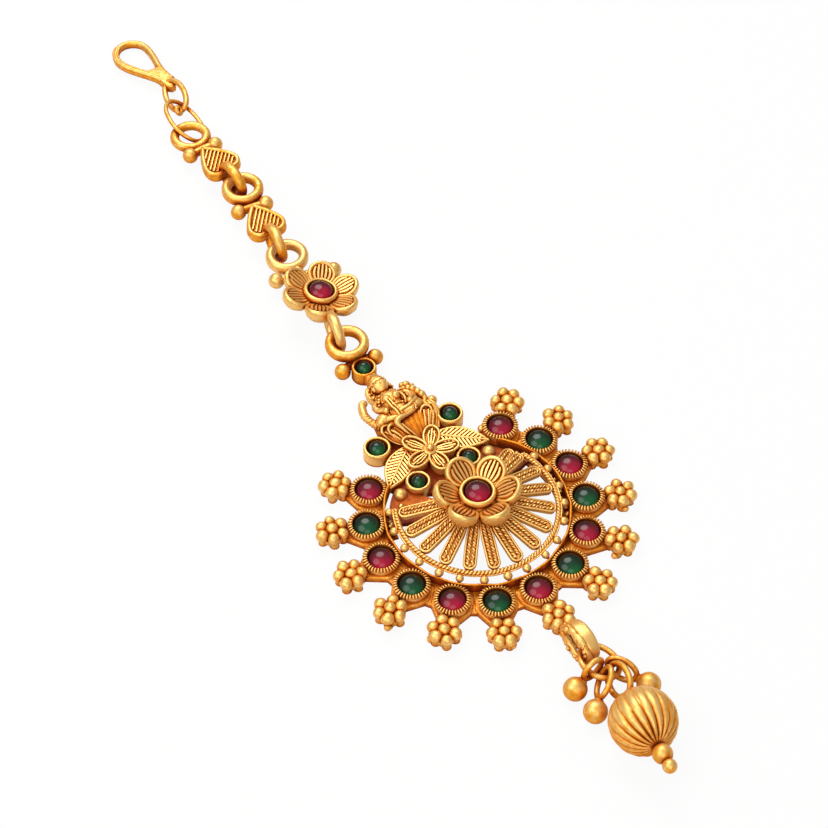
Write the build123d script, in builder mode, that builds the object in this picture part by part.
from build123d import *
import os
from math import cos, radians, sin

# A maang tikka lying flat on its back. The origin is the centre of the round medallion on its flat back,
# +X to the right, +Y along the chain to the hair hook, +Z up through the stones. Millimetres.

# Driving dimensions -------------------------------------------------------------------------------
gap = 0.15  # clearance between loose pieces

# stones round the rim
rim_step = 22.5
rim_reach = 6  # stones either side of the bottom one
rim_radius = 16.0
rim_bezel = 5.3
rim_stone = 4.0
bezel_floor = 1.0
bezel_top = 2.3
rim_stone_top = 2.95
rim_plate_height = 0.95
rim_plate_width = 3.7

# granule clusters
cluster_radius = 21.05
granule = 1.8
granule_pitch = 1.62
granule_stem = 1.65
granule_height = 1.85
centre_granule_lift = 0.25
granules_around = 6
cluster_lug = 2.75  # from a cluster's centre to its bezel's wall

# open ring inside the stones
strip_radius = 13.45
strip_width = 0.5
strip_top = 2.6
strip_reach = 142  # degrees either side of the bottom
ring_ball_radius = 12.72
ring_ball = 1.38
ring_ball_step = 15
ring_ball_first = 152
ring_ball_count = 16
rope_radius = 11.65
rope_wire = 0.9
rope_height = 2.9
rope_first, rope_last = 151, 383
ring_floors = ((146, 22), (-38, 70))  # first angle and turn of the floors between rope and strip
ring_floor_radii = (11.9, 13.4)
ring_floor = (0.5, 0.4)  # bottom and thickness
web_floors = ((126, 32), (20, 34))  # webs from the top plate down to the first and last spokes
web_radii = (5.0, 13.3)
web = (0.4, 0.8)

# filigree spokes, rising to the hub
spoke_count = 13
spoke_step = 18.9
spoke_first = 156
close_spoke = 391.5  # one more, close beside the last
spoke_tip_radius = 11.5
spoke_root_radius = 2.6
spoke_half_width = 0.95
spoke_groove = 0.95
spoke_groove_depth = 0.3
spoke_thickness = 0.85
spoke_tip_top = 3.4
spoke_slope = 12.5
hub_post = 3.6
hub_radius = 3.6
hub_bottom = 3.7
hub_top = 5.2

# six-petal flowers
petal_reach = 4.05
petal_radius = 2.15
petal_dish = 1.5
petal_dish_depth = 0.45
flower_bezel = 5.0
flower_stone = 3.9
flower_seat = 1.1
centre_flower_turn = 30
centre_flower_bottom = 4.6
centre_flower_top = 6.6
centre_bezel_top = 6.9
centre_stone_top = 7.6

# top of the medallion
leaf_base = (2.0, 15.4)
leaf_tip = (8.6, 10.2)
leaf_bulge = 2.0
leaf_top = 2.1
small_flower_y = 12.7
small_petal_reach = 2.35
small_petal_length = 3.9
small_petal_width = 2.3
small_flower_bottom = 0.9
small_flower_top = 2.9
side_bezels = (  # node, x, y, outer diameter
    ("side_stone_1", -6.3, 17.3, 4.1),
    ("side_stone_2", 6.3, 17.3, 4.0),
    ("side_stone_3", -4.4, 8.9, 3.7),
    ("side_stone_4", 4.3, 8.9, 3.7),
)
side_bezel_wall = 0.5
side_stone_top = 2.9
small_ball = 1.1
top_plate = ((2.4, 6.0), (5.2, 7.2), (8.2, 9.4), (8.6, 10.6), (6.2, 14.6), (7.0, 17.3), (4.4, 19.4))
top_plate_height = 0.9
leaf_ball = 2.0
leaf_ball_x, leaf_ball_y, leaf_ball_z = 7.6, 8.6, 1.2
crown_bezel = 3.8
crown_bezel_y = 31.6
crown_ball_x, crown_ball_y = 2.85, 33.1
crown_bar = 1.3
crown_lug, crown_lug_length = 1.8, 5.6  # joins the crown below and the ring above
crown_lug_bottom, crown_lug_height = 0.5, 1.75

# lotus seat and seated figure
lotus_top_y, lotus_bottom_y = 19.7, 15.2
lotus_top_half, lotus_bottom_half = 4.7, 1.3
lotus_height = 2.7
figure_height = 2.1
lap_y, lap_half, lap_radius = 20.7, 3.3, 1.25
waist_y, chest_y, neck_y = 21.6, 24.2, 25.3
waist_radius, chest_radius, neck_radius = 1.35, 1.8, 0.75
head = 2.7
head_y = 26.5
crown_y = 29.4
crown_base, crown_tip = 1.15, 0.6
halo = 4.6
halo_bottom, halo_thickness = 0.5, 1.1
raised_arm = ((3.9, 20.6), (5.2, 22.6), (4.5, 24.7))
arm_wire = 1.25

# cast chain: rings, balls, heart plates and upright loops
link_ball = 2.5
link_ring_radius = 3.35
link_ring_wire = 1.45
link_ring_z = 2.35
loop_wire = 1.4
loop_z = 3.0
loop_half_length = 2.9
loop_half_height = 2.3
heart_outline = ((0, 3.6), (1.75, 1.3), (3.15, -1.4), (2.75, -3.1), (1.4, -3.6), (0, -2.5))
heart_bottom = 2.1
heart_thickness = 1.6
heart_dish_scale = 0.74  # the dish's outline within the plate's
heart_dish = 0.4
top_ring_y = 36.6
heart_links = (  # node, ring centre, turn, heart turn
    ("heart_link_1", (1.37, 89.55, 1.75), 2.5, 9),
    ("heart_link_2", (2.45, 73.75, 2.35), -6.5, 4),
)
link_ball_x, link_ball_y, link_ball_z = 2.35, -3.9, 1.9
link_bar, link_bar_height = 1.5, 1.3
heart_y = -8.1
link_loop_y = -13.6
flower_link_ring = (1.2, 57.1)
flower_link_centre = (0.9, 46.6)
flower_link_turn = -5
flower_link_reach, flower_link_petal = 3.85, 2.05
flower_link_lean = 10  # degrees, the left side up
flower_link_bottom = 2.2
flower_link_top = 4.5
flower_link_bezel_top = 4.9
flower_link_stone_top = 5.7
flower_link_balls = ((-2.6, 53.8, 2.2), (5.9, 52.2, 1.5))
flower_link_stem = 1.8
flower_link_loop = (-0.5, 39.4)
flower_link_loop_turn = -11

# hair hook and its jump ring
hook_wire = 0.92
hook_band, hook_band_thickness = 1.3, 1.4
hook_route = (  # middle of the band, from the neck round and back
    (3.8, 103.7), (3.35, 105.0), (2.7, 106.2), (1.5, 108.2), (0.4, 110.2), (-0.25, 112.3), (0.1, 114.3),
    (1.2, 115.7), (2.6, 116.2), (4.0, 115.8), (5.1, 114.7), (5.5, 113.0), (5.4, 110.6), (5.05, 108.2),
    (4.9, 106.3), (5.0, 104.9), (5.3, 103.5),
)
hook_neck, hook_neck_size = (4.5, -0.35, 0), (2.0, 3.6)
hook_neck_z, hook_pitch = 1.54, 3.6  # the band comes down to the table away from the neck
hook_eye = ((3.81, 99.42, 1.924), (0.13, 0.992, 0.0), (0.811, -0.106, 0.575))
hook_eye_long, hook_eye_short = 3.6, 1.72
hook_curl = ((2.46, 95.7, 2.2), (0.5, 0.85, 0.1), (-0.6, 0.4, 0.7))  # the curled end of the eye's wire
hook_curl_long, hook_curl_short, hook_curl_wire = 0.6, 0.5, 0.76
jump_ring_frame = ((2.266, 93.153, 1.945), (0.017, 0.98, 0.156), (0.888, 0.0, -0.476))
jump_ring_long, jump_ring_short = 4.66, 2.95
jump_ring_wire = 0.72

# drop: strap, ring, three ball charms and the fluted bead on its pin
strap = (-0.4, -26.55, 2.85)
strap_half_length, strap_half_height = 3.45, 2.3
strap_wide, strap_thick = 2.4, 0.8
drop_ring_frame = ((0.029, -30.881, 2.756), (0.0, 0.996, -0.086), (0.981, -0.016, -0.191))
drop_ring_long, drop_ring_short, drop_ring_wire = 3.1, 2.5, 0.84
charms = (  # node, ball centre, ball size, direction to its ring, direction across it, ring's half sizes
    ("charm_1", (-4.822, -32.209, 1.7), 3.4, (0.854, 0.138, 0.501), (-0.506, 0.002, 0.863), 1.65, 1.35),
    ("charm_2", (-4.496, -36.574, 1.7), 3.4, (0.722, 0.594, 0.354), (0.164, -0.645, 0.747), 2.2, 1.4),
    ("charm_3", (4.11, -36.81, 1.7), 3.4, (-0.474, 0.869, 0.144), (0.529, 0.066, 0.846), 2.2, 1.35),
)
bead_axis = (0.188, 0.968, -0.167)
pin_eye_across = (0.613, 0.017, 0.79)
charm_wire = 0.82
charm_stem = 0.25  # from a ball's surface to its ring
bead = 9.4
bead_centre = (-1.2, -42.6, 4.75)
bead_hole = 1.14
flute_count = 20
flute_radius = 0.3
flute_reach = 62  # degrees of latitude either side of the middle
pin_wire = 0.84
pin_eye_at, pin_eye_long, pin_eye_short = 7.8, 2.75, 1.85
collar_bead, collar_at = 2.8, 6.05
end_bead, end_at = 2.0, 8.25
end_bead_bore = 0.45  # how far the blind bore passes the end bead's middle


# Helpers ------------------------------------------------------------------------------------------
def polar(radius, angle):
    return (radius * cos(radians(angle)), radius * sin(radians(angle)))


def sector(radii, start, turn, bottom, thickness):
    # a flat piece of a ring
    with BuildSketch(Plane.XY.offset(bottom)) as flat:
        with BuildLine():
            outer = CenterArc((0, 0), radii[1], start, turn)
            inner = CenterArc((0, 0), radii[0], start, turn)
            Line(outer @ 0, inner @ 0)
            Line(outer @ 1, inner @ 1)
        make_face()
    extrude(flat.sketch, amount=thickness)


def save(piece, name):
    piece.part.label = name
    export_step(piece.part, f"parts/{name}.step")


def frame_of(centre, along, across):
    # a plane with its x along the first direction and its y nearly along the second
    x_dir = Vector(*along).normalized()
    return Plane(origin=centre, x_dir=x_dir, z_dir=x_dir.cross(Vector(*across)))


def oval_ring(plane, long_radius, short_radius, wire):
    # a closed round wire: its centre line is an ellipse in the plane, the long radius along the plane's x
    with BuildLine(plane) as route:
        EllipticalCenterArc((0, 0), long_radius, short_radius, 0, arc_size=180)
        EllipticalCenterArc((0, 0), long_radius, short_radius, 180, arc_size=180)
    start = plane.from_local_coords(Vector(long_radius, 0, 0))
    with BuildSketch(Plane(origin=start, x_dir=plane.x_dir, z_dir=plane.y_dir)) as section:
        Circle(wire / 2)
    sweep(section.sketch, path=route.line, is_frenet=True)


def curved_wire(points, wire):
    # a wire bent through three points, with round ends
    with BuildLine() as route:
        ThreePointArc(*points)
    with BuildSketch(Plane(origin=route.line @ 0, z_dir=route.line % 0)) as section:
        Circle(wire / 2)
    sweep(section.sketch, path=route.line)
    with Locations(points[0], points[-1]):
        Sphere(wire / 2)


def ball_pair(x, y, z):
    # places for two balls either side of the middle line, the left one turned to mirror the right
    return [Location((-x, y, z), (0, 0, 180)), Location((x, y, z))]


def rod(start, end, wire):
    run = Vector(*end) - Vector(*start)
    with BuildSketch(Plane(origin=start, z_dir=run)) as section:
        Circle(wire / 2)
    extrude(section.sketch, amount=run.length)


def revolved(points, axis_plane=Plane.XZ):
    # turns an outline of straight runs about the vertical axis of its plane
    with BuildSketch(axis_plane) as outline:
        with BuildLine():
            Polyline(*points, close=True)
        make_face()
    revolve(outline.sketch, axis=Axis(axis_plane.origin, axis_plane.y_dir))


def upright(base, y, z):
    # the vertical plane along a link, at a distance along it and a height
    flat = Plane(base)
    return Plane(origin=flat.from_local_coords(Vector(0, y, z)), x_dir=flat.y_dir, z_dir=flat.x_dir)


def cup_outline(outer, inner, floor, top, bottom=0.0):
    outside, inside = outer / 2, inner / 2
    return [(0, bottom), (outside, bottom), (outside, top), (inside, top), (inside, floor), (0, floor)]


def cabochon(name, x, y, diameter, seat, top, lean_axis=Axis.Y, lean=0):
    # flat back, short straight girdle and a domed top
    radius = diameter / 2
    girdle = seat + 0.35 * (top - seat)
    rise = top - girdle
    dome = (radius**2 + rise**2) / (2 * rise)
    half = radius / 2
    middle = (half, top - dome + (dome**2 - half**2) ** 0.5)
    side = Plane(origin=(x, y, 0), x_dir=(1, 0, 0), z_dir=(0, -1, 0))
    with BuildPart() as stone:
        with BuildSketch(side):
            with BuildLine():
                Polyline((0, top), (0, seat), (radius, seat), (radius, girdle))
                ThreePointArc((radius, girdle), middle, (0, top))
            make_face()
        revolve(axis=Axis(side.origin, (0, 0, 1)))
    stone.part = stone.part.rotate(lean_axis, lean)
    save(stone, name)


def flower(centre, turn, reach, petal, bottom, top, bezel_rim):
    # six dished petals round a plain bezel
    base = Plane(origin=(*centre, bottom), x_dir=(*polar(1, turn), 0), z_dir=(0, 0, 1))
    with BuildSketch(base) as petals:
        Circle(reach)
        with PolarLocations(reach, 6):
            Circle(petal)
    extrude(petals.sketch, amount=top - bottom)
    with BuildSketch(base.offset(top - bottom - petal_dish_depth)) as dishes:
        with PolarLocations(reach + 0.1, 6):
            Circle(petal_dish)
    extrude(dishes.sketch, amount=petal_dish_depth, mode=Mode.SUBTRACT)
    with BuildSketch(base) as bezel:
        Circle(flower_bezel / 2)
    extrude(bezel.sketch, amount=bezel_rim - bottom)
    with BuildSketch(base.offset(bezel_rim - bottom - flower_seat)) as seat:
        Circle(flower_stone / 2 + gap)
    extrude(seat.sketch, amount=flower_seat, mode=Mode.SUBTRACT)


os.makedirs("parts", exist_ok=True)
rim_angles = [270 + rim_step * k for k in range(-rim_reach, rim_reach + 1)]

# Motifs that repeat in the medallion ----------------------------------------------------------------
with BuildPart() as granule_cluster:
    # two of the outer granules stand against the bezel
    with BuildSketch():
        Circle(granule_pitch)
        with PolarLocations(granule_pitch, granules_around, 30):
            Circle(granule_stem / 2)
    extrude(amount=granule_height)
    with PolarLocations(granule_pitch, granules_around, 30):
        with Locations((0, 0, granule_height)):
            Sphere(granule / 2)
    with Locations((0, 0, granule_height + centre_granule_lift)):
        Sphere(granule / 2)
    with Locations((-cluster_lug, 0, 0)):
        Box(cluster_lug, granule, rim_plate_height, align=(Align.MIN, Align.CENTER, Align.MIN))

with BuildPart() as rim_cup:
    revolved(cup_outline(rim_bezel, rim_stone + 2 * gap, bezel_floor, bezel_top))

with BuildPart() as spoke:
    # a long loop that narrows to the hub, grooved for its twisted wire
    slope_x = (-cos(radians(spoke_slope)), 0, sin(radians(spoke_slope)))
    slope_z = (sin(radians(spoke_slope)), 0, cos(radians(spoke_slope)))
    spoke_face = Plane(origin=(spoke_tip_radius, 0, spoke_tip_top), x_dir=slope_x, z_dir=slope_z)
    spoke_length = (spoke_tip_radius - spoke_root_radius) / cos(radians(spoke_slope))
    half_step = radians(spoke_step / 2 - 0.3)
    shoulder_length = spoke_tip_radius - spoke_half_width / sin(half_step)
    root_half = spoke_root_radius * sin(half_step)
    with BuildSketch(spoke_face.offset(-spoke_thickness)):
        with BuildLine():
            side = Polyline(
                (spoke_half_width, -spoke_half_width),
                (shoulder_length, -spoke_half_width),
                (spoke_length, -root_half),
                (spoke_length, root_half),
                (shoulder_length, spoke_half_width),
                (spoke_half_width, spoke_half_width),
            )
            ThreePointArc(side @ 1, (0, 0), side @ 0)
        make_face()
    extrude(amount=spoke_thickness)
    groove_length = shoulder_length - spoke_half_width
    with BuildSketch(spoke_face):
        with Locations((spoke_half_width + groove_length / 2, 0)):
            SlotCenterToCenter(groove_length, spoke_groove)
    extrude(amount=-spoke_groove_depth, mode=Mode.SUBTRACT)

with BuildPart() as leaf:
    # right-hand leaf, pointed at both ends
    leaf_middle = ((leaf_base[0] + leaf_tip[0]) / 2, (leaf_base[1] + leaf_tip[1]) / 2)
    leaf_run = Vector(leaf_tip[0] - leaf_base[0], leaf_tip[1] - leaf_base[1]).normalized()
    leaf_side = (-leaf_run.Y * leaf_bulge, leaf_run.X * leaf_bulge)
    with BuildSketch():
        with BuildLine():
            ThreePointArc(leaf_base, (leaf_middle[0] + leaf_side[0], leaf_middle[1] + leaf_side[1]), leaf_tip)
            ThreePointArc(leaf_tip, (leaf_middle[0] - leaf_side[0], leaf_middle[1] - leaf_side[1]), leaf_base)
        make_face()
    extrude(amount=leaf_top)

# Medallion, soldered in one ------------------------------------------------------------------------
rim_spots = (len(rim_angles), rim_angles[0], rim_step * (len(rim_angles) - 1))
with BuildPart() as pendant_frame:
    # plate under the rim stones
    plate_radii = (strip_radius, strip_radius + rim_plate_width)
    sector(plate_radii, rim_angles[0], rim_angles[-1] - rim_angles[0], 0, rim_plate_height)
    # upright strip inside them
    strip_radii = (strip_radius - strip_width / 2, strip_radius + strip_width / 2)
    sector(strip_radii, 270 - strip_reach, 2 * strip_reach, 0, strip_top)
    # floors near the ends of the open ring, and webs down to the end spokes
    for start, turn in ring_floors:
        sector(ring_floor_radii, start, turn, *ring_floor)
    for start, turn in web_floors:
        sector(web_radii, start, turn, *web)
    # bezels and clusters
    with PolarLocations(rim_radius, *rim_spots, endpoint=True):
        add(rim_cup.part)
    with PolarLocations(cluster_radius, *rim_spots, endpoint=True):
        add(granule_cluster.part)
    # small balls between the strip and the rope
    ring_ball_sweep = ring_ball_step * (ring_ball_count - 1)
    with PolarLocations(ring_ball_radius, ring_ball_count, ring_ball_first, ring_ball_sweep, endpoint=True):
        with Locations((0, 0, rope_height)):
            Sphere(ring_ball / 2, rotation=(0, 0, 90))
    # the rope's outer form
    with BuildLine(Plane.XY.offset(rope_height)) as rope:
        CenterArc((0, 0), rope_radius, rope_first, rope_last - rope_first)
    with BuildSketch(Plane(origin=rope.line @ 0, x_dir=(0, 0, 1), z_dir=rope.line % 0)):
        Circle(rope_wire / 2)
    sweep(path=rope.line)
    # spokes on the hub and its post
    with PolarLocations(0, spoke_count, spoke_first, spoke_step * (spoke_count - 1), endpoint=True):
        add(spoke.part)
    add(spoke.part, rotation=(0, 0, close_spoke))
    with BuildSketch():
        Circle(hub_post / 2)
    extrude(amount=hub_bottom)
    with BuildSketch(Plane.XY.offset(hub_bottom)):
        Circle(hub_radius)
    extrude(amount=hub_top - hub_bottom)
    flower(
        (0, 0), centre_flower_turn, petal_reach, petal_radius,
        centre_flower_bottom, centre_flower_top, centre_bezel_top,
    )
    # leaves, the balls at their tips and the five-petal flower over their stalks
    add(leaf.part)
    add(mirror(leaf.part, about=Plane.YZ, mode=Mode.PRIVATE))
    with Locations(*ball_pair(leaf_ball_x, leaf_ball_y, leaf_ball_z)):
        Sphere(leaf_ball / 2)
    with BuildSketch(Plane((0, small_flower_y, small_flower_bottom))):
        with PolarLocations(small_petal_reach, 5, 270):
            Ellipse(small_petal_length / 2, small_petal_width / 2)
        Circle(small_petal_width / 2)
    extrude(amount=small_flower_top - small_flower_bottom)
    with Locations((0, small_flower_y, small_flower_top)):
        Sphere(small_ball / 2)
    # back plate that carries them
    with BuildSketch():
        with BuildLine():
            Polyline(*[(x, y) for x, y in top_plate], *[(-x, y) for x, y in reversed(top_plate)], close=True)
        make_face()
    extrude(amount=top_plate_height)
    # lotus seat
    with BuildSketch():
        with BuildLine():
            lotus_side = Line((lotus_bottom_half, lotus_bottom_y), (lotus_top_half, lotus_top_y))
            lotus_other = Line((-lotus_bottom_half, lotus_bottom_y), (-lotus_top_half, lotus_top_y))
            Line(lotus_side @ 0, lotus_other @ 0)
            ThreePointArc(lotus_side @ 1, (0, lotus_top_y + 0.8), lotus_other @ 1)
        make_face()
    extrude(amount=lotus_height)
    # seated figure: lap, body, head with its crown and halo, raised arms
    with Locations(Location((0, lap_y, figure_height), (0, 90, 0))):
        Cylinder(lap_radius, 2 * lap_half)
    with Locations(*ball_pair(lap_half, lap_y, figure_height)):
        Sphere(lap_radius)
    body_outline = [
        (0, lap_y), (lap_radius, lap_y), (waist_radius, waist_y), (chest_radius, chest_y),
        (neck_radius, neck_y), (crown_base, head_y), (crown_tip, crown_y), (0, crown_y),
    ]
    with BuildSketch(Plane((0, 0, figure_height))):
        with BuildLine():
            Polyline(*body_outline, close=True)
        make_face()
    revolve(axis=Axis((0, 0, figure_height), (0, 1, 0)))
    with Locations((0, head_y, figure_height)):
        Sphere(head / 2)
    with BuildSketch(Plane.XY.offset(halo_bottom)):
        with Locations((0, head_y - 0.3)):
            Circle(halo / 2)
    extrude(amount=halo_thickness)
    for side in (-1, 1):
        curved_wire([(side * x, y, figure_height) for x, y in raised_arm], arm_wire)
    # crown bezel, its balls and the ring that the flower link hangs in
    with BuildSketch():
        with Locations((0, crown_bezel_y)):
            Circle(crown_bezel / 2)
    extrude(amount=bezel_top)
    with Locations(*ball_pair(crown_ball_x, crown_ball_y, link_ball / 2)):
        Sphere(link_ball / 2)
    with Locations((0, crown_ball_y, link_ball / 2)):
        Box(2 * crown_ball_x, crown_bar, crown_bar)
    with Locations((0, crown_bezel_y, crown_lug_bottom)):
        Box(crown_lug, crown_lug_length, crown_lug_height, align=(Align.CENTER, Align.CENTER, Align.MIN))
    with Locations((0, top_ring_y, link_ring_z)):
        Torus(link_ring_radius - link_ring_wire / 2, link_ring_wire / 2)
    # plain bezels beside the flower
    for _, x, y, outer in side_bezels:
        with BuildSketch():
            with Locations((x, y)):
                Circle(outer / 2)
        extrude(amount=bezel_top)
    for x, y, inner in [(x, y, outer - 2 * side_bezel_wall) for _, x, y, outer in side_bezels] + [
        (0, crown_bezel_y, crown_bezel - 2 * side_bezel_wall)
    ]:
        with BuildSketch(Plane.XY.offset(bezel_floor)):
            with Locations((x, y)):
                Circle(inner / 2)
        extrude(amount=centre_flower_top, mode=Mode.SUBTRACT)
    # upright strap loop at the bottom
    with BuildSketch(Plane(origin=strap, x_dir=(0, 1, 0), z_dir=(1, 0, 0))):
        Ellipse(strap_half_length + strap_thick / 2, strap_half_height + strap_thick / 2)
        Ellipse(strap_half_length - strap_thick / 2, strap_half_height - strap_thick / 2, mode=Mode.SUBTRACT)
    extrude(amount=strap_wide / 2, both=True)
save(pendant_frame, "pendant_frame")

# Stones -------------------------------------------------------------------------------------------
for k, angle in enumerate(rim_angles):
    cabochon(f"ring_stone_{k + 1:02}", *polar(rim_radius, angle), rim_stone, bezel_floor + gap, rim_stone_top)
cabochon("centre_stone", 0, 0, flower_stone, centre_bezel_top - flower_seat + gap, centre_stone_top)
for name, x, y, outer in (*side_bezels, ("crown_stone", 0, crown_bezel_y, crown_bezel)):
    cabochon(name, x, y, outer - 2 * side_bezel_wall - 2 * gap, bezel_floor + gap, side_stone_top)

# Chain --------------------------------------------------------------------------------------------
for name, ring, turn, heart_turn in heart_links:
    base = Location((ring[0], ring[1], 0), (0, 0, turn))
    with BuildPart() as heart_link:
        # heart plate, dished inside its border
        heart_plane = Plane(base * Location((0, heart_y, heart_bottom), (0, 0, heart_turn)))
        with BuildSketch(heart_plane) as heart:
            with BuildLine():
                edge = Spline(*heart_outline)
                mirror(edge, about=Plane.YZ)
            make_face()
        extrude(heart.sketch, amount=heart_thickness)
        with BuildSketch(heart_plane.offset(heart_thickness - heart_dish)) as dish:
            with BuildLine():
                edge = Spline(*[(x * heart_dish_scale, y * heart_dish_scale) for x, y in heart_outline])
                mirror(edge, about=Plane.YZ)
            make_face()
        extrude(dish.sketch, amount=heart_dish, mode=Mode.SUBTRACT)
        with Locations(base * Location((0, 0, ring[2]))):
            Torus(link_ring_radius - link_ring_wire / 2, link_ring_wire / 2)
        with Locations(*[base * spot for spot in ball_pair(link_ball_x, link_ball_y, link_ball_z)]):
            Sphere(link_ball / 2)
        with Locations(base * Location((0, link_ball_y, link_ball_z))):
            Box(2 * link_ball_x, link_bar, link_bar_height)
        oval_ring(upright(base, link_loop_y, loop_z), loop_half_length, loop_half_height, loop_wire)
    save(heart_link, name)

link_lean_axis = Axis((*flower_link_centre, flower_link_bottom), (0, 1, 0))
with BuildPart() as leaning_flower:
    flower(
        flower_link_centre, flower_link_turn, flower_link_reach, flower_link_petal,
        flower_link_bottom, flower_link_top, flower_link_bezel_top,
    )
with BuildPart() as flower_link:
    with Locations((*flower_link_ring, link_ring_z)):
        Torus(link_ring_radius - link_ring_wire / 2, link_ring_wire / 2)
    with Locations(*flower_link_balls):
        Sphere(link_ball / 2)
    rod(*flower_link_balls, link_bar)
    stem_end = (flower_link_ring[0], flower_link_ring[1] - link_ring_radius + link_ring_wire / 3, link_ring_z)
    rod((*flower_link_centre, link_ring_z), stem_end, flower_link_stem)
    add(leaning_flower.part.rotate(link_lean_axis, flower_link_lean))
    loop_place = Location((*flower_link_loop, 0), (0, 0, flower_link_loop_turn))
    oval_ring(upright(loop_place, 0, loop_z), loop_half_length, loop_half_height, loop_wire)
save(flower_link, "flower_link")
link_seat = flower_link_bezel_top - flower_seat + gap
cabochon(
    "flower_link_stone", *flower_link_centre, flower_stone, link_seat, flower_link_stone_top,
    link_lean_axis, flower_link_lean,
)

# Hair hook ----------------------------------------------------------------------------------------
with BuildPart() as hook:
    hook_up = (0, sin(radians(hook_pitch)), cos(radians(hook_pitch)))
    hook_plane = Plane(origin=(0, hook_route[0][1], hook_neck_z), x_dir=(1, 0, 0), z_dir=hook_up)
    with BuildLine(hook_plane) as route:
        Spline(*[(x, y - hook_route[0][1]) for x, y in hook_route])
    with BuildSketch(Plane(origin=route.line @ 0, x_dir=hook_plane.z_dir, z_dir=route.line % 0)):
        Rectangle(hook_band_thickness, hook_band)
    sweep(path=route.line)
    with Locations(hook_plane.location * Location(hook_neck)):
        Box(*hook_neck_size, hook_band_thickness)
    oval_ring(frame_of(*hook_eye), hook_eye_long, hook_eye_short, hook_wire)
    oval_ring(frame_of(*hook_curl), hook_curl_long, hook_curl_short, hook_curl_wire)
save(hook, "hook")

with BuildPart() as jump_ring:
    oval_ring(frame_of(*jump_ring_frame), jump_ring_long, jump_ring_short, jump_ring_wire)
save(jump_ring, "jump_ring")

# Drop ---------------------------------------------------------------------------------------------
with BuildPart() as drop_ring:
    oval_ring(frame_of(*drop_ring_frame), drop_ring_long, drop_ring_short, drop_ring_wire)
save(drop_ring, "drop_ring")

for name, centre, size, along, across, long_radius, short_radius in charms:
    middle, run = Vector(*centre), Vector(*along).normalized()
    with BuildPart() as charm:
        with Locations(middle):
            Sphere(size / 2)
        ring_middle = middle + run * (size / 2 + charm_stem + long_radius)
        oval_ring(frame_of(ring_middle, along, across), long_radius, short_radius, charm_wire)
        rod(middle, middle + run * (size / 2 + charm_stem), charm_wire)
    save(charm, name)

bead_run = Vector(*bead_axis).normalized()
bead_place = Plane(origin=bead_centre, z_dir=bead_run)


def bead_spot(distance):
    # a point on the pin, counted from the middle of the bead towards its eye
    return Vector(*bead_centre) + bead_run * distance


with BuildPart() as bead_pin:
    eye_plane = frame_of(bead_spot(pin_eye_at), bead_axis, pin_eye_across)
    oval_ring(eye_plane, pin_eye_long, pin_eye_short, pin_wire)
    rod(bead_spot(pin_eye_at - pin_eye_long), bead_spot(-end_at - end_bead_bore + gap), pin_wire)
save(bead_pin, "bead_pin")

with BuildPart() as flute:
    with BuildSketch():
        with Locations((bead / 2, 0)):
            Circle(flute_radius)
    revolve(axis=Axis.Y, revolution_arc=2 * flute_reach)
flute_cut = flute.part.rotate(Axis.Y, -flute_reach)
with BuildPart() as fluted_bead:
    bore = bead_hole / 2
    pole = ((bead / 2) ** 2 - bore**2) ** 0.5
    with BuildSketch(Plane.XZ):
        with BuildLine():
            Line((bore, -pole), (bore, pole))
            ThreePointArc((bore, pole), (bead / 2, 0), (bore, -pole))
        make_face()
    revolve(axis=Axis.Z)
    with PolarLocations(0, flute_count):
        add(flute_cut, mode=Mode.SUBTRACT)
fluted_bead.part = fluted_bead.part.moved(bead_place.location)
save(fluted_bead, "fluted_bead")

for name, size, distance, bore_end in (
    ("collar_bead", collar_bead, -collar_at, collar_bead), ("end_bead", end_bead, -end_at, end_bead_bore),
):
    with BuildPart() as small_bead:
        with Locations(Plane(origin=bead_spot(distance), z_dir=-bead_run)):
            Sphere(size / 2)
            with Locations((0, 0, -size)):
                bore_align = (Align.CENTER, Align.CENTER, Align.MIN)
                Cylinder(bead_hole / 2, size + bore_end, align=bore_align, mode=Mode.SUBTRACT)
    save(small_bead, name)
